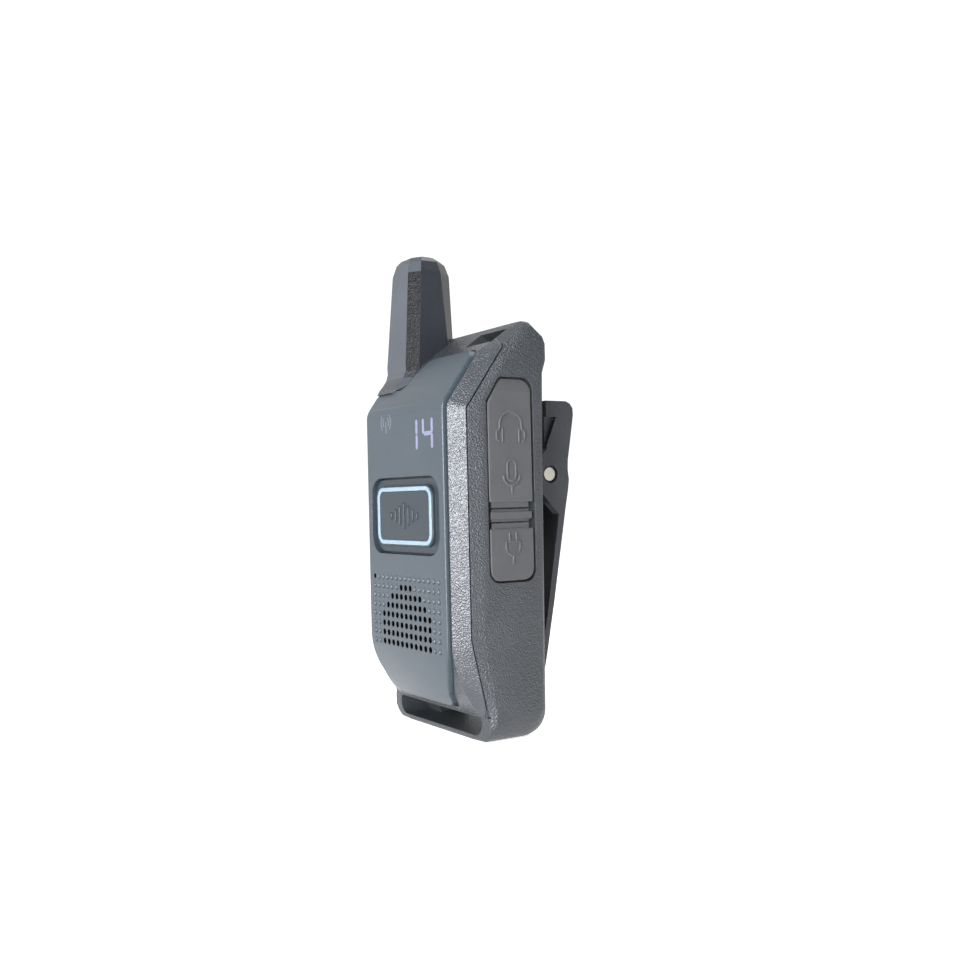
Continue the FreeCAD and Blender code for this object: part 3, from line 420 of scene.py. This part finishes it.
nickel = turnedMetal("nickelPlatedSteel", ("#b9b6ae", "#cfccc4"), 0.28, 0.3 * mm, (1, 1, 6))
pinSteel = turnedMetal("turnedBrightSteel", ("#d6d3c4", "#e6e3d6"), 0.35, 0.25 * mm, (6, 1, 1))
springWire = turnedMetal("drawnSpringSteel", ("#8f9094", "#a7a8ab"), 0.3, 0.2 * mm, (1, 6, 6))
brass = turnedMetal("turnedBrass", ("#b9924b", "#cfa85e"), 0.3, 0.25 * mm, (1, 1, 6))
dustCloth = wovenCloth("wovenDustCloth", ("#050506", "#121214"), 0.12 * mm, plainWeave)
ledGlow = litSegment("litSegmentPaint", "#a596dc", 0.42, segmentPaint)
ledFaint = litSegment("dimSegmentPaint", "#a3a6bb", 0.12, segmentPaint)

finishes = {
    "front_shell": bezelAbs, "rear_shell": tubAbs, "front_panel": panelPaint, "ptt_button": buttonPaint,
    "ptt_ring": lightRing, "ptt_switch": blackPart, "ptt_switch_cap": blackPart,
    "display_module": blackPart, "display_guide": clearGuide, "main_board": boardMask,
    "side_switches": blackPart, "headset_jack_small": blackPart, "headset_jack_large": blackPart,
    "charging_socket": nickel, "battery_cell": cellFoil, "battery_pad": foam, "radio_shield": nickel,
    "port_cover_anchor": rubber, "headset_flap": rubber, "usb_flap": rubber, "antenna_cover": antennaAbs,
    "antenna_coil": springWire, "antenna_stud": brass, "antenna_contact": brass, "clip_base": clipNylon,
    "clip_lever": clipNylon, "clip_screws": nickel, "clip_pin": pinSteel, "clip_spring": springWire,
    "clip_spring_arm": springWire, "shell_screws": nickel, "speaker_cloth": dustCloth,
    "speaker_gasket": foam, "speaker_frame": nickel, "speaker_cone": blackPart, "microphone_boot": rubber,
    "microphone": nickel, "power_button": rubber, "volume_up_button": rubber,
    "volume_down_button": rubber,
}
shading = {"creaseAngle": 27, "weldDistance": 0.0002 * mm}


def creaseTree(angle):
    # edges that fold by less than the angle shade smooth, the others stay sharp
    tree = bpy.data.node_groups.new("crease", "GeometryNodeTree")
    tree.interface.new_socket("Geometry", in_out="INPUT", socket_type="NodeSocketGeometry")
    tree.interface.new_socket("Geometry", in_out="OUTPUT", socket_type="NodeSocketGeometry")
    start = tree.nodes.new("NodeGroupInput")
    end = tree.nodes.new("NodeGroupOutput")
    plain = tree.nodes.new("GeometryNodeRemoveAttribute")
    plain.inputs["Name"].default_value = "custom_normal"
    soft = tree.nodes.new("GeometryNodeSetShadeSmooth")
    fold = tree.nodes.new("GeometryNodeInputMeshEdgeAngle")
    below = tree.nodes.new("FunctionNodeCompare")
    below.data_type = "FLOAT"
    below.operation = "LESS_THAN"
    below.inputs["B"].default_value = math.radians(angle)
    creases = tree.nodes.new("GeometryNodeSetShadeSmooth")
    creases.domain = "EDGE"
    tree.links.new(start.outputs[0], plain.inputs["Geometry"])
    tree.links.new(plain.outputs[0], soft.inputs["Geometry"])
    tree.links.new(soft.outputs[0], creases.inputs["Geometry"])
    tree.links.new(fold.outputs["Unsigned Angle"], below.inputs["A"])
    tree.links.new(below.outputs[0], creases.inputs["Shade Smooth"])
    tree.links.new(creases.outputs[0], end.inputs[0])
    return tree


def dressNodes(table, look):
    crease = creaseTree(look["creaseAngle"])
    for name, material in table.items():
        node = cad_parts[name]
        node.data.materials.clear()
        node.data.materials.append(material)
        weld = node.modifiers.new("weld", "WELD")
        weld.merge_threshold = look["weldDistance"]
        shade = node.modifiers.new("crease", "NODES")
        shade.node_group = crease


dressNodes(finishes, shading)
print("materials given to", len(finishes), "nodes")

talkMark = {"heights": (1.0, 2.4, 4.0, 5.6, 4.0, 2.4, 1.0), "pitch": 2.1, "halfWidth": 0.36, "proud": 0.34}


def makeTalkMark(look):
    # upright bars like a sound level, each a bead half sunk in the pad
    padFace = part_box("ptt_button")[0].y
    ringLow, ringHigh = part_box("ptt_ring")
    centre = ((ringLow.x + ringHigh.x) / 2, (ringLow.z + ringHigh.z) / 2)
    middle = (len(look["heights"]) - 1) / 2
    strokes = []
    for k, tall in enumerate(look["heights"]):
        x = (k - middle) * look["pitch"]
        bar = straight((x, -tall / 2), (x, tall / 2), 6)
        strokes.append((onFront(padFace, bar, centre), False))
    points, faces = sweepAll(strokes, (0, -1, 0), look)
    meshPiece("talk_mark", points, faces, buttonPaint, "ptt")


digits = {"tall": 7.0, "wide": 4.0, "gap": 0.55, "barGap": 0.75, "halfWidth": 0.52, "proud": 0.03,
          "oneX": 5.0, "fourX": 12.1, "aboveRing": 12.0, "lift": 0.005}


def segmentStrokes(names, x, look):
    # strokes of a seven-segment digit round x: the four upright ones and the middle bar
    top = look["tall"] / 2
    half = look["wide"] / 2
    gap = look["gap"]
    bar = half - look["barGap"]
    ends = {"upperRight": ((x + half, gap), (x + half, top - gap)),
            "lowerRight": ((x + half, -gap), (x + half, gap - top)),
            "upperLeft": ((x - half, gap), (x - half, top - gap)),
            "middle": ((x - bar, 0), (x + bar, 0))}
    return [straight(*ends[name], 5) for name in names]


def makeDigits(look, origin, plane):
    # a one and a four
    drawn = segmentStrokes(("upperRight", "lowerRight"), look["oneX"], look)
    drawn += segmentStrokes(("upperLeft", "upperRight", "lowerRight", "middle"), look["fourX"], look)
    strokes = [(onFront(plane, stroke, origin), False) for stroke in drawn]
    points, faces = sweepAll(strokes, (0, -1, 0), look, 8)
    meshPiece("display_digits", points, faces, ledGlow, "housing")


signal = {"x": -8.2, "foot": 1.3, "tip": 3.9, "radii": (1.4, 2.5), "spread": 42, "halfWidth": 0.17,
          "proud": 0.03}


def makeSignalMark(look, origin, plane):
    # a mast with two waves at each side, shown faintly beside the channel number
    tip = (look["x"], look["tip"])
    drawn = [straight((look["x"], look["foot"]), tip, 6)]
    for radius in look["radii"]:
        for facing in (0, 180):
            drawn.append(arc(tip, radius, facing - look["spread"], facing + look["spread"], 12))
    strokes = [(onFront(plane, stroke, origin), False) for stroke in drawn]
    points, faces = sweepAll(strokes, (0, -1, 0), look, 8)
    meshPiece("signal_mark", points, faces, ledFaint, "housing")


coverMarks = {"halfWidth": 0.27, "proud": 0.36, "headsetZ": 71.6, "microphoneZ": 60.3, "plugZ": 44.6,
              "y": 2.3}


def headphoneDrawing():
    # a head band, and at each end a straight inner side with a rounded cup outside it
    band = np.vstack([straight((-3.0, -0.6), (-3.0, 0.4), 4), arc((0, 0.4), 3.0, 180, 0, 28)[1:],
                      straight((3.0, 0.4), (3.0, -0.6), 4)[1:]])
    strokes = [(band, False)]
    for side in (-1, 1):
        strokes.append((straight((side * 2.25, -0.5), (side * 2.25, -3.4), 6), False))
        turned = 90 - side * 90
        cup = np.vstack([arc((side * 3.1, -1.4), 0.75, 90, turned, 8),
                         arc((side * 3.1, -2.5), 0.75, turned, turned - side * 90, 8)])
        strokes.append((cup, False))
    return strokes


def microphoneDrawing():
    # a capsule in a cradle, on a short stand
    capsule = np.vstack([arc((0, 2.6), 1.15, 0, 180, 14), arc((0, 0.2), 1.15, 180, 360, 14)])
    cradle = arc((0, 0.2), 2.2, 180, 360, 22)
    return [(capsule, True), (cradle, False), (straight((0, -2.1), (0, -3.6), 5), False)]


def plugDrawing():
    # a half-round body with two prongs and a lead
    body = np.vstack([straight((-1.9, 1.0), (1.9, 1.0), 8), arc((0, -0.2), 1.9, 0, -180, 20)])
    strokes = [(body, True), (straight((0, -2.3), (0, -3.9), 5), False)]
    for side in (-1, 1):
        strokes.append((straight((side * 0.95, 1.2), (side * 0.95, 2.9), 5), False))
    return strokes


def makeCoverMark(name, node, body, drawing, z, look):
    # a drawing raised on the outer face of a flap
    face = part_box(node)[1].x
    strokes = [(onSide(face, path, (look["y"] * mm, z * mm)), closed) for path, closed in drawing]
    points, faces = sweepAll(strokes, (1, 0, 0), look)
    meshPiece(name, points, faces, rubber, body)


makeTalkMark(talkMark)
displayOrigin = (0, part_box("ptt_ring")[1].z + digits["aboveRing"] * mm)
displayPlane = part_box("front_panel")[0].y - digits["lift"] * mm
makeDigits(digits, displayOrigin, displayPlane)
makeSignalMark(signal, displayOrigin, displayPlane)
makeCoverMark("headphone_mark", "headset_flap", "headset_cover", headphoneDrawing(),
              coverMarks["headsetZ"], coverMarks)
makeCoverMark("microphone_mark", "headset_flap", "headset_cover", microphoneDrawing(),
              coverMarks["microphoneZ"], coverMarks)
makeCoverMark("plug_mark", "usb_flap", "charging_cover", plugDrawing(), coverMarks["plugZ"], coverMarks)
print("marks made")


pointsPerTurn = 28


def coilPath(centre, radius, axis, low, high, turns):
    # a helix round an axis along X or Z: the angle and the distance along it grow together
    t = np.linspace(0, 2 * np.pi * turns, int(turns * pointsPerTurn) + 1)
    along = low + (high - low) * t / t[-1]
    first = centre[0] + radius * np.cos(t)
    second = centre[1] + radius * np.sin(t)
    return np.column_stack([along, first, second] if axis == "x" else [first, second, along])


def makeWire(name, path, normal, wire, body, node):
    # round wire along a path, in place of a plain node
    points, faces = sweep(path, normal, wire, wire, 10)
    piece = meshPiece(name, points, faces, springWire, body)
    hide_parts(node)


torsionSpring = {"wire": 0.42, "turns": 8, "inside": 0.25, "bendTurns": 0.25, "eyeTurns": 0.9,
                 "tipInset": 1.4}
nearlyX = (1, 0, 0.001)


def makeClipSpring(look):
    # a coil round the pin: one leg rests on the bracket, and the arm that moves has an eye of its own
    wire = look["wire"] * mm
    pinLow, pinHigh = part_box("clip_pin")
    centre = ((pinLow.y + pinHigh.y) / 2, (pinLow.z + pinHigh.z) / 2)
    radius = (pinHigh.z - pinLow.z) / 2 + look["inside"] * mm + wire
    low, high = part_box("clip_spring")
    x = low.x + wire
    coil = coilPath(centre, radius, "x", x, high.x - wire, look["turns"])
    bend = coilPath(centre, radius, "x", x, x, look["bendTurns"])[::-1]
    legEnd = np.array([x, low.y + wire, centre[1] + radius])
    legStart = np.array([x, centre[0], centre[1] + radius])
    path = np.vstack([straight(legEnd, legStart, 8)[:-1], bend[:-1], coil])
    makeWire("clip_spring_wire", path, nearlyX, wire, "housing", "clip_spring")
    armLow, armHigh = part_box("clip_spring_arm")
    x = (armLow.x + armHigh.x) / 2
    eye = coilPath(centre, radius, "x", x, x, look["eyeTurns"])[::-1]
    tip = np.array([x, armHigh.y - wire * look["tipInset"], armHigh.z - wire])
    path = np.vstack([eye[:-1], straight(eye[-1], tip, 14)])
    makeWire("clip_spring_arm_wire", path, nearlyX, wire, "clip", "clip_spring_arm")


antennaCoil = {"wire": 0.4, "turns": 11}


def makeAntennaCoil(look):
    # a helix that fills the plain coil node
    low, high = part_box("antenna_coil")
    wire = look["wire"] * mm
    centre = ((low.x + high.x) / 2, (low.y + high.y) / 2)
    radius = (high.x - low.x) / 2 - wire
    path = coilPath(centre, radius, "z", low.z + wire, high.z - wire, look["turns"])
    makeWire("antenna_coil_wire", path, (0, 0, 1), wire, "housing", "antenna_coil")


makeClipSpring(torsionSpring)
makeAntennaCoil(antennaCoil)
print("springs made")

studio = {"floorSize": 60.0, "floorColours": ("#ececee", "#fbfbfb"), "floorGlow": 0.66,
          "speck": 0.025, "floorRoughness": 0.8, "sideBand": (-0.8, 0.8), "left": 1.0, "right": 0.22,
          "heightBand": (0.15, 0.8), "overhead": 0.8, "backdrop": 1.1,
          "lightColour": (0.94, 0.96, 1.0), "aim": (0, 0, 0.055),
          "lights": (("strip_light", (0.335, -0.478, 0.09), (0.24, 0.44), 11.5),
                     ("top_light", (0.0, 0.25, 0.70), (0.5, 0.5), 2.0))}


def makeFloor(look):
    # a pale floor that glows a little, so that it fades into the backdrop
    half = look["floorSize"] / 2
    material, tree, coords = startMaterial("pale_floor")
    tone = blend(tree, noise(tree, coords, look["speck"], 2.0), *look["floorColours"])
    finishMaterial(tree, {"Base Color": tone, "Roughness": look["floorRoughness"],
                          "Emission Color": linear("#ffffff"), "Emission Strength": look["floorGlow"]})
    corners = [(-half, -half, 0), (half, -half, 0), (half, half, 0), (-half, half, 0)]
    mesh = bpy.data.meshes.new("floor")
    mesh.from_pydata(corners, [], [(0, 1, 2, 3)])
    mesh.materials.append(material)
    floor = bpy.data.objects.new("floor", mesh)
    scene.collection.objects.link(floor)


def makeBackdrop(look):
    # white all round to the eye; as a light it falls off from left to right and towards the top
    world = bpy.data.worlds.new("studio")
    scene.world = world
    world.use_nodes = True
    tree = world.node_tree
    tree.nodes.clear()
    direction = addNode(tree, "SeparateXYZ", {"Vector": addNode(tree, "TexCoord").outputs["Generated"]})
    sideways = spread(tree, direction.outputs["X"], look["sideBand"], (look["left"], look["right"]),
                      interpolation_type="SMOOTHSTEP")
    upward = spread(tree, direction.outputs["Z"], look["heightBand"], (1.0, look["overhead"]),
                    interpolation_type="SMOOTHSTEP")
    power = maths(tree, "MULTIPLY", sideways, upward)
    around = addNode(tree, "Background", {"Color": linear("#ffffff"), "Strength": power})
    seen = addNode(tree, "Background", {"Color": linear("#ffffff"), "Strength": look["backdrop"]})
    pick = addNode(tree, "MixShader", {0: addNode(tree, "LightPath").outputs["Is Camera Ray"],
                                       1: around.outputs[0], 2: seen.outputs[0]})
    addNode(tree, "OutputWorld", {"Surface": pick.outputs[0]})


def makeLights(look):
    # soft boxes aimed at the middle of the radio
    for name, place, size, watts in look["lights"]:
        light = bpy.data.lights.new(name, "AREA")
        light.shape = "RECTANGLE"
        light.energy = watts
        light.size = size[0]
        light.size_y = size[1]
        light.color = look["lightColour"]
        lamp = bpy.data.objects.new(name, light)
        lamp.location = place
        aim = Vector(look["aim"]) - Vector(place)
        lamp.rotation_euler = aim.to_track_quat("-Z", "Y").to_euler()
        scene.collection.objects.link(lamp)


makeFloor(studio)
makeBackdrop(studio)
makeLights(studio)
scene.view_settings.view_transform = "Standard"
print("studio made")
